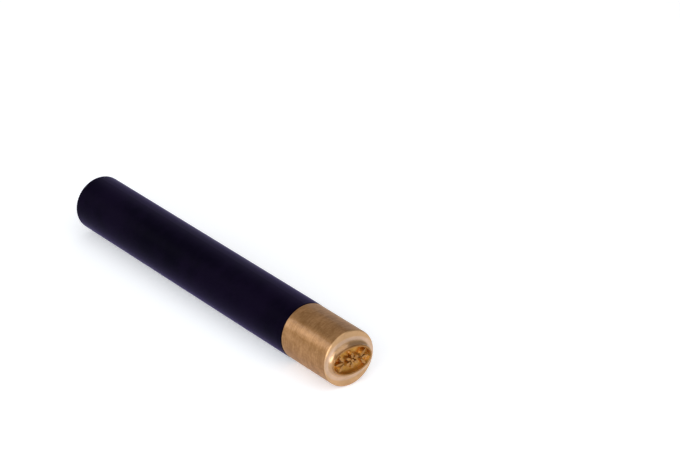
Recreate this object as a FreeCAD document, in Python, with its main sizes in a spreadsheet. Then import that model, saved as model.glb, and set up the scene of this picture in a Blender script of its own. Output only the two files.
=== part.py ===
import FreeCAD, Part
import math
import os
import Sketcher
from FreeCAD import Placement, Rotation, Vector

# A hand stamp that is struck with a mallet: a round black rod with a brass stamping head screwed
# on its front end. It lies on its side. +X runs along the axis from the struck end to the
# stamping face, +Z is up, and the origin is on the line it rests on, at half the length.

# Driving sizes, in millimetres, or in degrees or a count where the note says so.
SIZES = [
    ("handle_diameter", 20.0, "black rod, a stock bar size"),
    ("handle_length", 125.0, "struck end to seat"),
    ("struck_edge_radius", 0.9, "rounding of the struck end"),
    ("relief_length", 2.4, "slight turned taper behind the seat"),
    ("relief_drop", 0.06, "radius lost along that taper"),
    ("seat_chamfer", 0.2, "broken edge of the rod at the seam"),
    ("head_step", 0.1, "how far the brass stands inside the rod's outline"),
    ("head_length", 25.5, "seat to stamping plane"),
    ("back_chamfer", 0.25, "broken edge of the brass at the seam"),
    ("rim_radius", 0.5, "rounded edge of the front"),
    ("oval_length", 15.6, "at the stamping plane, outside the border"),
    ("oval_width", 9.8, "at the stamping plane, outside the border"),
    ("oval_height", 1.8, "stamping plane above the shoulder"),
    ("foot_margin", 0.1, "ends of the oval's foot to the rounded edge"),
    ("flank_run", 2.2, "how far the oval's long sides spread at the foot"),
    ("border_width", 0.4, "raised line round the oval"),
    ("engraving_depth", 1.5, "field below the stamping plane"),
    ("draft", 10.0, "degrees, slope of the engraved walls"),
    ("boss_diameter", 1.1, "round centre of the rosette"),
    ("petal_root", 0.85, "axis to the petal's inner tip"),
    ("petal_margin", 1.75, "petal's outer tip to the border"),
    ("petal_width", 0.95, "widest across"),
    ("petal_count", 6, "count round the rosette"),
    ("leaf_centre", 3.1, "axis to the point that the leaves spread from"),
    ("leaf_root", 0.45, "that point to a leaf's inner tip"),
    ("leaf_margin", 0.8, "outer tip of the middle leaf to the border"),
    ("leaf_width", 0.8, "widest across"),
    ("leaf_spread", 52.0, "degrees between neighbouring leaves"),
    ("leaf_count", 3, "count on each side"),
    ("stud_diameter", 8.0, "outside of the thread"),
    ("stud_length", 25.0, "a stock length of set screw"),
    ("stud_in_handle", 12.5, "ten turns of the thread"),
    ("stud_chamfer", 0.8, "run-in at both ends"),
    ("socket_width", 4.0, "hexagon key, across flats"),
    ("socket_depth", 5.0, "hexagon socket"),
    ("thread_clearance", 0.05, "radial, stud to hole"),
    ("tip_clearance", 2.0, "hole beyond the stud's end"),
    ("drill_angle", 118.0, "degrees, point of the drilled holes"),
    ("mouth_width", 0.5, "countersink of the holes, radial"),
]

# The oval's flank is a hollow curve, most of a quarter ellipse: steep at the border and nearly
# flat at the foot. It is lofted through this many ovals.
FLANK_STEPS = 7
FLANK_SWEEP = math.radians(85)

NEAR = 1e-4  # millimetres within which two places are the same

doc = FreeCAD.newDocument("hand_stamp")
sheet = doc.addObject("Spreadsheet::Sheet", "Sizes")
for row, (alias, size, note) in enumerate(SIZES, start=1):
    sheet.set(f"A{row}", alias)
    sheet.set(f"B{row}", str(size))
    sheet.setAlias(f"B{row}", alias)
    sheet.set(f"C{row}", note)
doc.recompute()


# Expressions, in which a size's alias stands in angle brackets

def full(expression):
    return expression.replace("<", "Sizes.").replace(">", "")


def value(expression):
    result = sheet.evalExpression(full(expression))
    return float(getattr(result, "Value", result))


def bind(item, rules):
    for target, expression in rules.items():
        item.setExpression(target, full(expression))


# Sketches

def sketch_on(body, name, role, along="0", across="0", turn="0"):
    """A sketch on a plane of the body's origin, moved along its normal and across, then turned."""
    sketch = body.newObject("Sketcher::SketchObject", name)
    plane = next(item for item in body.Origin.OriginFeatures if item.Role == role)
    sketch.AttachmentSupport = [(plane, "")]
    sketch.MapMode = "FlatFace"
    sketch.AttachmentOffset = Placement(Vector(0, 0, 0), Rotation(Vector(0, 0, 1), 1))
    bind(sketch, {
        "AttachmentOffset.Base.x": across,
        "AttachmentOffset.Base.z": along,
        "AttachmentOffset.Rotation.Angle": turn,
    })
    return sketch


def rule(sketch, kind, *where, is_=None):
    """A constraint, and where it has a size, the expression that the size follows."""
    if is_ is None:
        return sketch.addConstraint(Sketcher.Constraint(kind, *where))
    index = sketch.addConstraint(Sketcher.Constraint(kind, *where, value(is_)))
    sketch.setExpression(f"Constraints[{index}]", full(is_))
    return index


START, END, CENTRE = range(1, 4)  # points of a sketch's line or curve
AXIS_X, AXIS_Y = range(-1, -3, -1)
ORIGIN = (AXIS_X, START)


def closed_outline(sketch, points, rounded=None):
    """Straight lines round points given as expressions. None puts a point on the other axis.
    rounded gives the radius of each square corner that isn't sharp, by the corner's number. Its
    arc is in two halves, so that a revolution makes two narrow bands of it."""
    places = [Vector(value(x or "0"), value(y or "0"), 0) for x, y in points]
    lines = [
        sketch.addGeometry(Part.LineSegment(start, end), False)
        for start, end in zip(places, places[1:] + places[:1])
    ]
    for line, following in zip(lines, lines[1:] + lines[:1]):
        rule(sketch, "Coincident", line, END, following, START)
    for line, (x, y) in zip(lines, points):
        if x is None:
            rule(sketch, "PointOnObject", line, START, AXIS_Y)
        else:
            rule(sketch, "DistanceX", line, START, is_=x)
        if y is None:
            rule(sketch, "PointOnObject", line, START, AXIS_X)
        else:
            rule(sketch, "DistanceY", line, START, is_=y)
    for corner, radius in (rounded or {}).items():
        arc = sketch.GeometryCount
        sketch.fillet(lines[corner], START, value(radius), True, True)
        curve = sketch.Geometry[arc]
        halfway = (curve.FirstParameter + curve.LastParameter) / 2
        sketch.split(arc, curve.value(halfway))
        rule(sketch, "Radius", arc, is_=radius)
        for half in (arc, sketch.GeometryCount - 1):
            rule(sketch, "Distance", half, START, half, END, is_=f"2 * ({radius}) * sin(90 / 4)")


def circle(sketch, diameter):
    curve = sketch.addGeometry(Part.Circle(Vector(), Vector(0, 0, 1), value(diameter) / 2), False)
    rule(sketch, "Coincident", curve, CENTRE, *ORIGIN)
    rule(sketch, "Diameter", curve, is_=diameter)


def ellipse(sketch, length, width):
    """An ellipse on the sketch's origin with its long axis along X."""
    curve = sketch.addGeometry(Part.Ellipse(Vector(), value(length) / 2, value(width) / 2), False)
    sketch.exposeInternalGeometry(curve)
    long_axis, short_axis = curve + 1, curve + 2
    rule(sketch, "Coincident", curve, CENTRE, *ORIGIN)
    rule(sketch, "PointOnObject", long_axis, START, AXIS_X)
    rule(sketch, "Distance", long_axis, START, long_axis, END, is_=length)
    rule(sketch, "Distance", short_axis, START, short_axis, END, is_=width)


def hexagon(sketch, across_flats):
    corners = 6
    across_corners = f"{across_flats} / cos(180 / {corners})"
    radius = value(across_corners) / 2
    angles = [math.tau * turn / corners for turn in range(corners)]
    places = [Vector(radius * math.cos(angle), radius * math.sin(angle), 0) for angle in angles]
    guide = sketch.addGeometry(Part.Circle(Vector(), Vector(0, 0, 1), radius), True)
    rule(sketch, "Coincident", guide, CENTRE, *ORIGIN)
    rule(sketch, "Diameter", guide, is_=across_corners)
    lines = [
        sketch.addGeometry(Part.LineSegment(start, end), False)
        for start, end in zip(places, places[1:] + places[:1])
    ]
    for line, following in zip(lines, lines[1:] + lines[:1]):
        rule(sketch, "Coincident", line, END, following, START)
        rule(sketch, "PointOnObject", line, START, guide)
    for line in lines[1:]:
        rule(sketch, "Equal", lines[0], line)
    rule(sketch, "PointOnObject", lines[0], START, AXIS_X)


def lens(sketch, inner, outer, width):
    """Two equal arcs from an inner to an outer tip on the X axis: the shape of a petal or leaf."""
    near_tip, far_tip = value(inner), value(outer)
    half_width = value(width) / 2
    half_length = (far_tip - near_tip) / 2
    radius = (half_length ** 2 + half_width ** 2) / (2 * half_width)
    reach = math.asin(half_length / radius)
    middle = (near_tip + far_tip) / 2
    arcs = []
    for side in (1, -1):
        centre = Vector(middle, side * (half_width - radius), 0)
        mid_angle = side * math.pi / 2
        whole = Part.Circle(centre, Vector(0, 0, 1), radius)
        arc = Part.ArcOfCircle(whole, mid_angle - reach, mid_angle + reach)
        arcs.append(sketch.addGeometry(arc, False))
    upper, lower = arcs
    rule(sketch, "Coincident", upper, START, lower, END)
    rule(sketch, "Coincident", upper, END, lower, START)
    rule(sketch, "PointOnObject", upper, START, AXIS_X)
    rule(sketch, "PointOnObject", upper, END, AXIS_X)
    rule(sketch, "DistanceX", upper, START, is_=outer)
    rule(sketch, "DistanceX", upper, END, is_=inner)
    rule(sketch, "Equal", upper, lower)
    rule(sketch, "Radius", upper, is_=f"((({outer}) - ({inner}))^2 / 4 + ({width})^2 / 4) / ({width})")


# Features

def new_body(name):
    body = doc.addObject("PartDesign::Body", name)
    body.Label = name
    return body


def turned(body, points, rounded=None):
    """A solid of revolution about X, from its half outline in the XZ plane."""
    sketch = sketch_on(body, f"{body.Label}_outline", "XZ_Plane")
    closed_outline(sketch, points, rounded)
    solid = body.newObject("PartDesign::Revolution", f"{body.Label}_turned")
    solid.Profile = sketch
    solid.ReferenceAxis = (sketch, ["H_Axis"])
    solid.Angle = 360
    doc.recompute()
    return solid


def round_edges(feature, along, radius):
    """Names of the feature's circular edges about the X axis at one place and radius."""
    names = []
    for index, edge in enumerate(feature.Shape.Edges, start=1):
        curve = edge.Curve
        if not isinstance(curve, Part.Circle):
            continue
        if abs(curve.Center.x - value(along)) < NEAR and abs(curve.Radius - value(radius)) < NEAR:
            names.append(f"Edge{index}")
    return names


def chamfered(body, name, along, radius, size):
    """A chamfer on one round edge of the body's tip."""
    base = body.Tip
    chamfer = body.newObject("PartDesign::Chamfer", name)
    chamfer.Base = (base, round_edges(base, along, radius))
    bind(chamfer, {"Size": size})
    doc.recompute()


def drilled(body, name, along, depth, into_x):
    """A drilled and countersunk hole on the axis, from a flat end into the solid."""
    sketch = sketch_on(body, f"{name}_centre", "YZ_Plane", along=along)
    circle(sketch, "<stud_diameter> + 2 * <thread_clearance>")
    doc.recompute()
    hole = body.newObject("PartDesign::Hole", name)
    hole.Profile = sketch
    hole.Reversed = into_x
    hole.DepthType = "Dimension"
    hole.DrillPoint = "Angled"
    hole.HoleCutType = "Countersink"
    hole.HoleCutCountersinkAngle = 90
    bind(hole, {
        "Diameter": "<stud_diameter> + 2 * <thread_clearance>",
        "Depth": depth,
        "DrillPointAngle": "<drill_angle>",
        "HoleCutDiameter": "<stud_diameter> + 2 * <thread_clearance> + 2 * <mouth_width>",
    })
    doc.recompute()
    return hole


def oval_on(body, name, along, length, width):
    sketch = sketch_on(body, name, "YZ_Plane", along=along)
    ellipse(sketch, length, width)
    return sketch


def lofted(body, kind, name, sections):
    loft = body.newObject(f"PartDesign::{kind}", name)
    loft.Profile = sections[0]
    loft.Sections = sections[1:]
    doc.recompute()


def raised(body, name, sketch):
    """A part of the motif: from the stamping plane down to the field, wider at its foot."""
    pad = body.newObject("PartDesign::Pad", name)
    pad.Profile = sketch
    pad.Reversed = True
    bind(pad, {"Length": "<engraving_depth>", "TaperAngle": "<draft>"})
    doc.recompute()
    return pad


# The handle

def make_handle():
    body = new_body("handle")
    radius = "<handle_diameter> / 2"
    turned(body, [
        (None, None),
        (None, radius),
        ("<handle_length> - <relief_length>", radius),
        ("<handle_length>", f"{radius} - <relief_drop>"),
        ("<handle_length>", None),
    ], rounded={1: "<struck_edge_radius>"})
    chamfered(body, "seat_edge", "<handle_length>", f"{radius} - <relief_drop>", "<seat_chamfer>")
    drilled(body, "handle_hole", "<handle_length>", "<stud_in_handle> + <tip_clearance>", False)
    return body


# The stud

def make_stud():
    body = new_body("threaded_stud")
    radius = "<stud_diameter> / 2"
    turned(body, [
        (None, None),
        (None, f"{radius} - <stud_chamfer>"),
        ("<stud_chamfer>", radius),
        ("<stud_length> - <stud_chamfer>", radius),
        ("<stud_length>", f"{radius} - <stud_chamfer>"),
        ("<stud_length>", None),
    ])
    sketch = sketch_on(body, "socket_outline", "YZ_Plane")
    hexagon(sketch, "<socket_width>")
    socket = body.newObject("PartDesign::Pocket", "socket")
    socket.Profile = sketch
    socket.Reversed = True
    bind(socket, {"Length": "<socket_depth>"})
    doc.recompute()
    return body


# The stamping head

SHOULDER = "<head_length> - <oval_height>"
HEAD_RADIUS = "<handle_diameter> / 2 - <head_step>"


def make_blank(body):
    """The turned blank, up to the shoulder that the oval stands on."""
    turned(body, [
        (None, None),
        (None, HEAD_RADIUS),
        (SHOULDER, HEAD_RADIUS),
        (SHOULDER, None),
    ], rounded={2: "<rim_radius>"})
    chamfered(body, "back_edge", "0", HEAD_RADIUS, "<back_chamfer>")
    drilled(body, "head_hole", "0", "<stud_length> - <stud_in_handle> + <tip_clearance>", True)


def make_oval(body):
    """The raised oval: a loft from its foot on the shoulder up to the stamping plane. The foot is
    as long as the shoulder lets it be, so the flank is steeper at the ends than at the sides."""
    foot_length = f"2 * ({HEAD_RADIUS} - <rim_radius> - <foot_margin>)"
    sections = []
    for step in range(FLANK_STEPS):
        sweep = FLANK_SWEEP * (1 - step / (FLANK_STEPS - 1))
        spread = (1 - math.cos(sweep)) / (1 - math.cos(FLANK_SWEEP))
        drop = math.sin(sweep) / math.sin(FLANK_SWEEP)
        sections.append(oval_on(
            body, f"oval_{step}", f"<head_length> - <oval_height> * {drop}",
            f"<oval_length> + ({foot_length} - <oval_length>) * {spread}",
            f"<oval_width> + 2 * <flank_run> * {spread}",
        ))
    lofted(body, "AdditiveLoft", "raised_oval", sections)


def make_field(body):
    """The engraved field inside the border, with walls that slope in to its floor."""
    slope = "<engraving_depth> * tan(<draft>)"
    length = "<oval_length> - 2 * <border_width>"
    width = "<oval_width> - 2 * <border_width>"
    mouth = oval_on(body, "field_mouth", "<head_length>", length, width)
    floor = oval_on(
        body, "field_floor", "<head_length> - <engraving_depth>",
        f"{length} - 2 * {slope}", f"{width} - 2 * {slope}",
    )
    lofted(body, "SubtractiveLoft", "field", [mouth, floor])
    return mouth


def make_rosette(body):
    """A round boss with petals about it."""
    boss = sketch_on(body, "boss_outline", "YZ_Plane", along="<head_length>")
    circle(boss, "<boss_diameter>")
    raised(body, "boss", boss)

    petal = sketch_on(body, "petal_outline", "YZ_Plane", along="<head_length>", turn="90")
    lens(petal, "<petal_root>", "<oval_width> / 2 - <border_width> - <petal_margin>", "<petal_width>")
    first = raised(body, "petal", petal)

    petals = body.newObject("PartDesign::PolarPattern", "petals")
    petals.Originals = [first]
    petals.Axis = (petal, ["N_Axis"])
    petals.Angle = 360
    bind(petals, {"Occurrences": "<petal_count>"})
    body.Tip = petals
    doc.recompute()


def make_leaves(body, field_sketch):
    """A fan of leaves on each side of the rosette, along the oval's long axis."""
    leaf = sketch_on(
        body, "leaf_outline", "YZ_Plane",
        along="<head_length>", across="<leaf_centre>", turn="-<leaf_spread> * (<leaf_count> - 1) / 2",
    )
    tip = "<oval_length> / 2 - <border_width> - <leaf_margin> - <leaf_centre>"
    lens(leaf, "<leaf_root>", tip, "<leaf_width>")
    first = raised(body, "leaf", leaf)

    leaves = body.newObject("PartDesign::MultiTransform", "leaves")
    fan = body.newObject("PartDesign::PolarPattern", "leaf_fan")
    fan.Axis = (leaf, ["N_Axis"])
    bind(fan, {"Angle": "<leaf_spread> * (<leaf_count> - 1)", "Occurrences": "<leaf_count>"})
    sides = body.newObject("PartDesign::Mirrored", "leaf_sides")
    sides.MirrorPlane = (field_sketch, ["V_Axis"])
    leaves.Originals = [first]
    leaves.Transformations = [fan, sides]
    body.Tip = leaves
    doc.recompute()


def make_head():
    body = new_body("stamp_head")
    make_blank(body)
    make_oval(body)
    field_sketch = make_field(body)
    make_rosette(body)
    make_leaves(body, field_sketch)
    return body


# Places

def lay(body, along):
    """Put a body's own X axis at the height that the handle lies at."""
    bind(body, {
        "Placement.Base.x": f"{along} - (<handle_length> + <head_length>) / 2",
        "Placement.Base.z": "<handle_diameter> / 2",
    })


handle = make_handle()
stud = make_stud()
head = make_head()
lay(handle, "0")
lay(stud, "<handle_length> - <stud_in_handle>")
lay(head, "<handle_length>")
doc.recompute()


# Checks

for item in doc.Objects:
    if "Invalid" in item.State or "Error" in item.State:
        raise RuntimeError(f"{item.Label} did not compute: {item.State}")

for name in ("handle_hole", "head_hole", "socket", "field"):
    cut = doc.getObject(name)
    if cut.Shape.Volume > cut.BaseFeature.Shape.Volume - NEAR:
        raise RuntimeError(f"{name} cut nothing")

os.makedirs("parts", exist_ok=True)
for body in (handle, stud, head):
    shape = body.Shape
    if shape.isNull() or not shape.isValid() or len(shape.Solids) != 1:
        raise RuntimeError(f"{body.Label} isn't one valid solid")
    shape.exportStep(f"parts/{body.Label}.step")
    print(f"{body.Label}: {shape.Volume:.1f} mm3, {len(shape.Faces)} faces, box {shape.BoundBox}")
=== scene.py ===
import bmesh
import bpy
import math
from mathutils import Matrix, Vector


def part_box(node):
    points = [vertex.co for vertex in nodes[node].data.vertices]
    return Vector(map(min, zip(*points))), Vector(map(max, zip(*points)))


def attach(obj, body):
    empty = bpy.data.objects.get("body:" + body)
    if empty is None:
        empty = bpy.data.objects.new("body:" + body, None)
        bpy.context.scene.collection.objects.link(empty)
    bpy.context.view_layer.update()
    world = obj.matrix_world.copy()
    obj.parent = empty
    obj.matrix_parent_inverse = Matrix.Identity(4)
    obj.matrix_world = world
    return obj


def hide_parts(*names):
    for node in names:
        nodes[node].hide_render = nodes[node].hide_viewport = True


# The looks of a hand stamp: a satin black rod, a turned brass head with an engraved oval on its
# front, and the threaded stud between them. It lies on a white table in soft light.

MM = 0.001

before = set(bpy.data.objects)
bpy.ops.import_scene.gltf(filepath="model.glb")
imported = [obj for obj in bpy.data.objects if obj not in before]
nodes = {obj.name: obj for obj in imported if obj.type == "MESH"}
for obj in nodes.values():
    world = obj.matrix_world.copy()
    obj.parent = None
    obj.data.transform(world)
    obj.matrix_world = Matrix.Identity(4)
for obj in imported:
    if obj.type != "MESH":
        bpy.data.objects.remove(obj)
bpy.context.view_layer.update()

# Places on the object, read from the frame

handle_low, handle_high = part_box("handle")
stud_low, stud_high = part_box("threaded_stud")
axis_height = (handle_low.z + handle_high.z) / 2
axis_point = Vector((0, 0, axis_height))
seam = handle_high.x
stamping_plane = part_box("stamp_head")[1].x

# The front of the head: how far the shoulder lies behind the stamping plane, the engraved field,
# and the foot of the raised oval

SHOULDER_DEPTH = 1.8 * MM
FIELD_LENGTH = 14.8 * MM
FIELD_WIDTH = 9.0 * MM
FOOT_LENGTH = 18.6 * MM
FOOT_WIDTH = 14.2 * MM

# The stud's thread, a standard M8 with its coarse pitch, and its hexagon socket

THREAD_PITCH = 1.25 * MM
THREAD_ROOT_RADIUS = 3.233 * MM
THREAD_SIDES = 72
STUD_CHAMFER = 0.8 * MM
SOCKET_WIDTH = 4.0 * MM
SOCKET_DEPTH = 5.0 * MM
WELD_DISTANCE = 0.002 * MM
SHARP_ANGLE = math.radians(30)

# How strong every bump is; each has a depth of its own

BUMP_STRENGTH = 0.5


class Graph:
    """One material's nodes. Each call adds a node; a number, colour or socket feeds an input."""

    def __init__(self, name):
        self.material = bpy.data.materials.new(name)
        self.material.use_nodes = True
        self.tree = self.material.node_tree
        self.tree.nodes.clear()

    def node(self, kind, inputs=None, **settings):
        node = self.tree.nodes.new(kind)
        for key, setting in settings.items():
            setattr(node, key, setting)
        for key, source in (inputs or {}).items():
            self.feed(node.inputs[key], source)
        return node

    def feed(self, socket, source):
        if isinstance(source, bpy.types.NodeSocket):
            self.tree.links.new(source, socket)
        elif isinstance(source, bpy.types.Node):
            self.tree.links.new(source.outputs[0], socket)
        else:
            socket.default_value = source

    def math(self, operation, *values):
        return self.node("ShaderNodeMath", dict(enumerate(values)), operation=operation)

    def product(self, first, *others):
        for other in others:
            first = self.math("MULTIPLY", first, other)
        return first

    def without(self, whole, part):
        return self.math("SUBTRACT", whole, part)

    def vector(self, operation, *values):
        return self.node("ShaderNodeVectorMath", dict(enumerate(values)), operation=operation)

    def length(self, vector):
        return self.vector("LENGTH", vector).outputs["Value"]

    def parts(self, vector):
        return self.node("ShaderNodeSeparateXYZ", {"Vector": vector}).outputs

    def ramp(self, value, low, high, to_low=0.0, to_high=1.0):
        """A smooth change from one value to another as the input goes from low to high."""
        return self.node("ShaderNodeMapRange", {
            "Value": value, "From Min": low, "From Max": high, "To Min": to_low, "To Max": to_high,
        }, interpolation_type="SMOOTHSTEP")

    def noise(self, vector, scale, detail=2.0, roughness=0.5):
        return self.node("ShaderNodeTexNoise", {
            "Vector": vector, "Scale": scale, "Detail": detail, "Roughness": roughness,
        })

    def blend(self, factor, first, second):
        """A colour between two others."""
        mix = self.node("ShaderNodeMix", data_type="RGBA")
        self.feed(mix.inputs["Factor"], factor)
        self.feed(mix.inputs[6], first)
        self.feed(mix.inputs[7], second)
        return mix.outputs[2]

    def bump(self, height, distance, normal=None):
        inputs = {"Height": height, "Distance": distance, "Strength": BUMP_STRENGTH}
        if normal is not None:
            inputs["Normal"] = normal
        return self.node("ShaderNodeBump", inputs)

    def rounded(self, radius):
        """The normal as if every edge were rounded a little, and how near an edge the point is."""
        bevel = self.node("ShaderNodeBevel", {"Radius": radius}, samples=6)
        geometry = self.node("ShaderNodeNewGeometry")
        same = self.vector("DOT_PRODUCT", bevel, geometry.outputs["Normal"]).outputs["Value"]
        return bevel, self.ramp(same, 0.98, 0.75)

    def surface(self, shader):
        self.node("ShaderNodeOutputMaterial", {"Surface": shader})
        return self.material


def place_on_object(graph):
    """The point in the object's own space, measured from its axis in metres, and its normal."""
    coordinates = graph.node("ShaderNodeTexCoord")
    point = graph.vector("SUBTRACT", coordinates.outputs["Object"], axis_point)
    return point, coordinates.outputs["Normal"]


def distance_from_axis(graph, point):
    return graph.length(graph.vector("MULTIPLY", point, (0, 1, 1)))


def oval_distance(graph, point, length, width):
    """Which oval about the axis the point is on, where 1 is the oval of the given sizes."""
    return graph.length(graph.vector("MULTIPLY", point, (0, 2 / length, 2 / width)))


def turned_coordinates(graph, point, along, around):
    """Coordinates in which a texture makes lines round the axis: many along it, few round it."""
    place = graph.parts(point)
    angle = graph.math("ARCTAN2", place["Y"], place["Z"])
    depth = graph.without(place["X"], distance_from_axis(graph, point))
    return graph.node("ShaderNodeCombineXYZ", {
        "X": graph.product(depth, along),
        "Y": graph.product(graph.math("COSINE", angle), around),
        "Z": graph.product(graph.math("SINE", angle), around),
    })


# The rod's black: the two colours of its cloud, its scuffed edges, and its fine turned lines

ROD_DARK = (0.0002, 0.0001, 0.0014, 1)
ROD_PALE = (0.0030, 0.0014, 0.0065, 1)
ROD_SCUFF = (0.03, 0.024, 0.045, 1)
ROD_EDGE_RADIUS = 0.25 * MM
ROD_LINE_DEPTH = 0.004 * MM


def satin_black():
    graph = Graph("satin_black")
    point, _ = place_on_object(graph)
    turned = turned_coordinates(graph, point, along=9000, around=1.2)
    lines = graph.noise(turned, scale=1.0)
    cloud = graph.ramp(graph.noise(point, scale=45, detail=4, roughness=0.7), 0.35, 0.65)
    scuffs = graph.ramp(graph.noise(point, scale=900, detail=4, roughness=0.7), 0.45, 0.7)
    soft, edge = graph.rounded(ROD_EDGE_RADIUS)
    colour = graph.blend(cloud, ROD_DARK, ROD_PALE)
    colour = graph.blend(graph.product(edge, scuffs), colour, ROD_SCUFF)
    return graph.surface(graph.node("ShaderNodeBsdfPrincipled", {
        "Base Color": colour,
        "Roughness": graph.ramp(cloud, 0, 1, 0.4, 0.48),
        "Normal": graph.bump(lines, ROD_LINE_DEPTH, soft),
        "IOR": 1.12,
        "Specular IOR Level": 0.08,
        "Specular Tint": (0.65, 0.5, 1.0, 1),
        "Sheen Weight": 0.22,
        "Sheen Roughness": 0.35,
        "Sheen Tint": (0.5, 0.38, 1.0, 1),
    }))


# The brass: for each region its less and its more worn colour, where the foot's paler ring is a
# painted reflection; then the colours of the worn edges, also a painted highlight, of the border
# round the field, and of the painted shade at the seam

BRASS_SIDE = ((0.31, 0.15, 0.05, 1), (0.47, 0.25, 0.104, 1))
BRASS_FRONT = ((0.54, 0.32, 0.154, 1), (0.62, 0.375, 0.186, 1))
BRASS_FOOT_REFLECTION = ((0.58, 0.385, 0.247, 1), (0.67, 0.455, 0.307, 1))
BRASS_FLANK = ((0.41, 0.21, 0.07, 1), (0.5, 0.27, 0.098, 1))
BRASS_TOP = ((0.32, 0.145, 0.036, 1), (0.46, 0.225, 0.062, 1))
BRASS_FIELD = ((0.465, 0.222, 0.038, 1), (0.585, 0.296, 0.06, 1))
BRASS_WORN_EDGE_GLINT = (0.82, 0.62, 0.4, 1)
BRASS_BORDER = (0.36, 0.17, 0.045, 1)
BRASS_SEAM_SHADE = (0.05, 0.022, 0.012, 1)

# How far behind the stamping plane the raised oval, the border and the field start to show, and
# where they show in full

RAISED_DEPTHS = SHOULDER_DEPTH - 0.1 * MM, SHOULDER_DEPTH - 0.5 * MM
BORDER_DEPTHS = 0.12 * MM, 0.03 * MM
FIELD_DEPTHS = 0.05 * MM, 0.5 * MM

# The same for the painted shade at the seam, by its distance from the seam and from the axis

SEAM_SHADE_FROM_SEAM = 0.45 * MM, 0.2 * MM
SEAM_SHADE_FROM_AXIS = 9.4 * MM, 9.7 * MM

# How much the edges look rounded, and how deep each texture is

BRASS_EDGE_RADIUS = 0.12 * MM
FINE_DEPTH = 0.005 * MM
STREAK_DEPTH = 0.009 * MM
PATCH_DEPTH = 0.05 * MM


def brass_textures(graph, point):
    """Fine turned lines, broader streaks, short patches, and how worn they make the surface."""
    narrow = turned_coordinates(graph, point, along=7000, around=2.5)
    broad = turned_coordinates(graph, point, along=1300, around=1.6)
    short = turned_coordinates(graph, point, along=1100, around=11)
    fine = graph.noise(narrow, scale=1.0, detail=3)
    streaks = graph.noise(broad, scale=1.0, detail=3, roughness=0.6)
    patches = graph.noise(short, scale=1.0, detail=3, roughness=0.6)
    cloud = graph.noise(point, scale=260, detail=4, roughness=0.6)
    worn = graph.product(streaks, 0.22)
    for texture, share in (patches, 0.2), (cloud, 0.35), (fine, 0.23):
        worn = graph.math("ADD", worn, graph.product(texture, share))
    return fine, streaks, patches, graph.ramp(worn, 0.4, 0.6)


# Painted shade: a dark band on the head's outer back edge, next to the seam
def shade_at_seam(graph, point, along):
    near_seam = graph.ramp(graph.without(along, seam), *SEAM_SHADE_FROM_SEAM)
    outside = graph.ramp(distance_from_axis(graph, point), *SEAM_SHADE_FROM_AXIS)
    return graph.product(near_seam, outside)


def across_lines(graph, point, normal):
    """The direction across the turned lines, in which the highlight is drawn out."""
    around = graph.vector("CROSS_PRODUCT", (1, 0, 0), point)
    meridian = graph.vector("CROSS_PRODUCT", around, normal)
    return graph.node("ShaderNodeVectorTransform", {"Vector": meridian},
                      vector_type="VECTOR", convert_from="OBJECT", convert_to="WORLD")


def turned_brass():
    graph = Graph("turned_brass")
    point, normal = place_on_object(graph)
    along = graph.parts(point)["X"]
    depth = graph.without(stamping_plane, along)

    # Where the surface is: the front, the raised oval's foot, where a paler ring is a painted
    # reflection, its flank, its top, and the field
    front = graph.ramp(graph.parts(normal)["X"], 0.15, 0.6)
    from_foot = oval_distance(graph, point, FOOT_LENGTH, FOOT_WIDTH)
    foot_reflection = graph.product(graph.ramp(from_foot, 0.84, 0.92), graph.ramp(from_foot, 1.1, 1.02))
    foot_reflection = graph.product(foot_reflection, front)
    raised = graph.ramp(depth, *RAISED_DEPTHS)
    top = graph.ramp(oval_distance(graph, point, FIELD_LENGTH, FIELD_WIDTH), 1.03, 0.99)
    flank = graph.product(raised, front, graph.without(1, top))
    field = graph.product(graph.ramp(depth, *FIELD_DEPTHS), top)

    fine, streaks, patches, worn = brass_textures(graph, point)
    colour = graph.blend(worn, *BRASS_SIDE)
    for region, colours in (
        (front, BRASS_FRONT), (foot_reflection, BRASS_FOOT_REFLECTION), (flank, BRASS_FLANK),
        (top, BRASS_TOP), (field, BRASS_FIELD),
    ):
        colour = graph.blend(region, colour, graph.blend(worn, *colours))

    soft, edge = graph.rounded(BRASS_EDGE_RADIUS)
    border = graph.product(flank, graph.ramp(depth, *BORDER_DEPTHS))
    # Worn edges, paler than the brass, which also stand in as a painted highlight
    colour = graph.blend(graph.product(edge, worn, graph.without(1, flank)), colour, BRASS_WORN_EDGE_GLINT)
    colour = graph.blend(border, colour, BRASS_BORDER)
    # Painted shade on the head's back edge at the seam
    colour = graph.blend(shade_at_seam(graph, point, along), colour, BRASS_SEAM_SHADE)

    roughness = graph.ramp(graph.product(front, 0.6), 0, 1, 0.5, 0.3)
    bumps = graph.bump(fine, FINE_DEPTH, soft)
    bumps = graph.bump(streaks, STREAK_DEPTH, bumps)
    bumps = graph.bump(patches, PATCH_DEPTH, bumps)
    return graph.surface(graph.node("ShaderNodeBsdfPrincipled", {
        "Base Color": colour,
        "Metallic": 1.0,
        "Roughness": graph.without(roughness, graph.product(raised, 0.05)),
        "Anisotropic": 0.87,
        "Tangent": across_lines(graph, point, normal),
        "Normal": bumps,
        "Coat Weight": graph.ramp(graph.without(flank, border), 0, 1, 0.12, 1.0),
        "Coat Roughness": 0.12,
        "Coat IOR": 1.75,
    }))


# The stud's steel: painted shade in the roots of the thread, and two greys on the rest

STEEL_ROOT_SHADE = (0.09, 0.085, 0.08, 1)
STEEL_DARK = (0.5, 0.5, 0.51, 1)
STEEL_PALE = (0.62, 0.62, 0.63, 1)
STEEL_CREST_HEIGHT = 0.7 * MM
SCRATCH_DEPTH = 0.003 * MM


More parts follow.
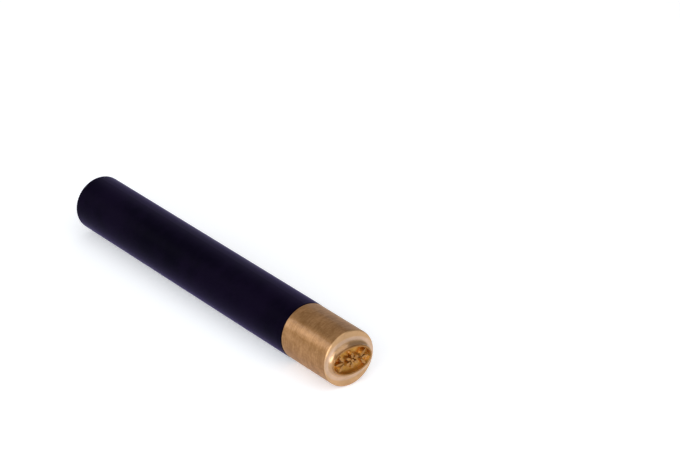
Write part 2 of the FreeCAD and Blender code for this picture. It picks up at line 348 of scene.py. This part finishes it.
def plain_steel():
    graph = Graph("plain_steel")
    point = graph.node("ShaderNodeTexCoord").outputs["Object"]
    # The thread's roots get painted shade, the crests the steel's greys
    crest = graph.ramp(distance_from_axis(graph, point),
                       THREAD_ROOT_RADIUS, THREAD_ROOT_RADIUS + STEEL_CREST_HEIGHT)
    cloud = graph.noise(point, scale=900)
    scratches = graph.noise(point, scale=6000, detail=3, roughness=0.7)
    clean = graph.blend(cloud, STEEL_DARK, STEEL_PALE)
    return graph.surface(graph.node("ShaderNodeBsdfPrincipled", {
        "Base Color": graph.blend(crest, STEEL_ROOT_SHADE, clean),
        "Metallic": 1.0,
        "Roughness": graph.ramp(cloud, 0.3, 0.7, 0.24, 0.38),
        "Normal": graph.bump(scratches, SCRATCH_DEPTH),
    }))


def give(name, material):
    slot = nodes[name].material_slots[0]
    slot.link = "OBJECT"
    slot.material = material


give("handle", satin_black())
give("stamp_head", turned_brass())


# The stud, which has its thread cut here

def add_point(form, along, reach, angle):
    return form.verts.new((along, reach * math.cos(angle), reach * math.sin(angle)))


def thread_rows(form, length, radius):
    """Rows of points along the thread's root and crest lines, cut off square at both ends."""
    root = THREAD_ROOT_RADIUS
    profile = [(0, root), (1 / 4, root), (9 / 16, radius), (11 / 16, radius)]
    rows = []
    for turn in range(-1, math.ceil(length / THREAD_PITCH) + 1):
        for share, height in profile:
            row = []
            for side in range(THREAD_SIDES):
                angle = math.tau * side / THREAD_SIDES
                along = (turn + share + side / THREAD_SIDES) * THREAD_PITCH
                along = min(max(along, 0), length)
                chamfered = radius - STUD_CHAMFER + min(along, length - along)
                row.append(add_point(form, along, min(height, chamfered), angle))
            rows.append(row)
    return rows, len(profile)


def ring(form, along, radius_at):
    angles = [math.tau * side / THREAD_SIDES for side in range(THREAD_SIDES)]
    return [add_point(form, along, radius_at(angle), angle) for angle in angles]


def join_rings(form, first, second):
    for side in range(len(first)):
        following = (side + 1) % len(first)
        form.faces.new((first[side], second[side], second[following], first[following]))


def hexagon_radius(angle):
    sector = math.radians(60)
    return SOCKET_WIDTH / 2 / math.cos(angle % sector - sector / 2)


def threaded_bar(length, radius):
    form = bmesh.new()
    rows, rows_in_turn = thread_rows(form, length, radius)
    for row, above in zip(rows, rows[1:]):
        for side in range(THREAD_SIDES - 1):
            form.faces.new((row[side], above[side], above[side + 1], row[side + 1]))
    a_turn_on = rows[rows_in_turn:]
    for row, above, next_row, next_above in zip(rows, rows[1:], a_turn_on, a_turn_on[1:]):
        form.faces.new((row[-1], above[-1], next_above[0], next_row[0]))

    end_radius = radius - STUD_CHAMFER
    rim = ring(form, 0, lambda angle: end_radius)
    mouth = ring(form, 0, hexagon_radius)
    socket_floor = ring(form, SOCKET_DEPTH, hexagon_radius)
    join_rings(form, rim, mouth)
    join_rings(form, mouth, socket_floor)
    form.faces.new(socket_floor)
    form.faces.new(ring(form, length, lambda angle: end_radius))
    bmesh.ops.remove_doubles(form, verts=form.verts, dist=WELD_DISTANCE)
    bmesh.ops.recalc_face_normals(form, faces=form.faces)
    return form


def add_stud():
    mesh = bpy.data.meshes.new("stud_thread")
    form = threaded_bar(stud_high.x - stud_low.x, (stud_high.z - stud_low.z) / 2)
    form.to_mesh(mesh)
    form.free()
    mesh.shade_smooth()
    mesh.set_sharp_from_angle(angle=SHARP_ANGLE)
    mesh.materials.append(plain_steel())
    stud = bpy.data.objects.new("stud_thread", mesh)
    stud.location = (stud_low.x, 0, axis_height)
    bpy.context.scene.collection.objects.link(stud)
    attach(stud, "stud")
    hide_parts("threaded_stud")


add_stud()


# The table

TABLE_REACH = 3.0
TABLE_WHITE = (0.91, 0.925, 0.95, 1)
TABLE_GLOW = 0.33


def white_table():
    """White paper that is a little brighter to the eye than the light on it would make it."""
    graph = Graph("white_table")
    rays = graph.node("ShaderNodeLightPath").outputs
    seen = graph.math("MAXIMUM", rays["Is Camera Ray"], rays["Is Glossy Ray"])
    seen = graph.math("MAXIMUM", seen, rays["Is Transmission Ray"])
    paper = graph.node("ShaderNodeBsdfDiffuse", {"Color": TABLE_WHITE})
    glow = graph.node("ShaderNodeEmission", {
        "Color": (1, 1, 1, 1), "Strength": graph.product(seen, TABLE_GLOW),
    })
    return graph.surface(graph.node("ShaderNodeAddShader", {0: paper, 1: glow}))


def add_table():
    mesh = bpy.data.meshes.new("table")
    low, high = -TABLE_REACH, TABLE_REACH
    corners = [(low, low, 0), (high, low, 0), (high, high, 0), (low, high, 0)]
    mesh.from_pydata(corners, [], [(0, 1, 2, 3)])
    table = bpy.data.objects.new("table", mesh)
    mesh.materials.append(white_table())
    bpy.context.scene.collection.objects.link(table)


add_table()


# The light: an even white world and four large lamps

WORLD_STRENGTH = 0.40


def add_world():
    world = bpy.data.worlds.new("studio")
    bpy.context.scene.world = world
    world.use_nodes = True
    background = world.node_tree.nodes["Background"]
    background.inputs["Color"].default_value = (1, 1, 1, 1)
    background.inputs["Strength"].default_value = WORLD_STRENGTH


def add_softbox(name, direction, distance, width, height, power, colour=(1, 1, 1)):
    """An area lamp that faces the object from a direction, with sizes in metres and watts."""
    data = bpy.data.lights.new(name, "AREA")
    data.shape = "RECTANGLE"
    data.size, data.size_y = width, height
    data.energy = power
    data.color = colour
    lamp = bpy.data.objects.new(name, data)
    away = Vector(direction).normalized()
    lamp.location = axis_point + away * distance
    lamp.rotation_euler = away.to_track_quat("Z", "Y").to_euler()
    bpy.context.scene.collection.objects.link(lamp)


add_world()
add_softbox("left", (-0.75, -0.52, 0.38), distance=1.2, width=0.4, height=0.55, power=2.9,
            colour=(0.97, 1.0, 1.02))
add_softbox("front", (0.70, -0.67, 0.24), distance=1.0, width=0.9, height=0.85, power=8.8,
            colour=(0.95, 1.0, 1.08))
add_softbox("above", (0.6, 0.04, 0.78), distance=1.6, width=1.4, height=2.2, power=8.1)
add_softbox("behind", (-0.6, 0.75, 0.3), distance=1.6, width=1.6, height=0.6, power=2.8)


# The camera, from the picture: its direction, its distance in metres from a point on the rod's
# axis, where that point is, and how far it lies to the right of the view's middle and above it

AZIMUTH, ELEVATION = math.radians(53.23), math.radians(25.47)
DISTANCE = 1.0
BEHIND_SEAM = 50 * MM
ASIDE, ABOVE = -41.18 * MM, -16.67 * MM
LENS = 156.0
CLIP_START, CLIP_END = 0.01, 20


def add_camera():
    back = Vector((
        math.sin(AZIMUTH) * math.cos(ELEVATION),
        -math.cos(AZIMUTH) * math.cos(ELEVATION),
        math.sin(ELEVATION),
    ))
    right = Vector((math.cos(AZIMUTH), math.sin(AZIMUTH), 0))
    up = back.cross(right)
    anchor = Vector((seam - BEHIND_SEAM, 0, axis_height))
    data = bpy.data.cameras.new("camera")
    data.lens = LENS
    data.clip_start, data.clip_end = CLIP_START, CLIP_END
    camera = bpy.data.objects.new("camera", data)
    camera.location = anchor + DISTANCE * back - ASIDE * right - ABOVE * up
    camera.rotation_euler = back.to_track_quat("Z", "Y").to_euler()
    bpy.context.scene.collection.objects.link(camera)
    bpy.context.scene.camera = camera


add_camera()

bpy.context.scene.view_settings.view_transform = "Standard"
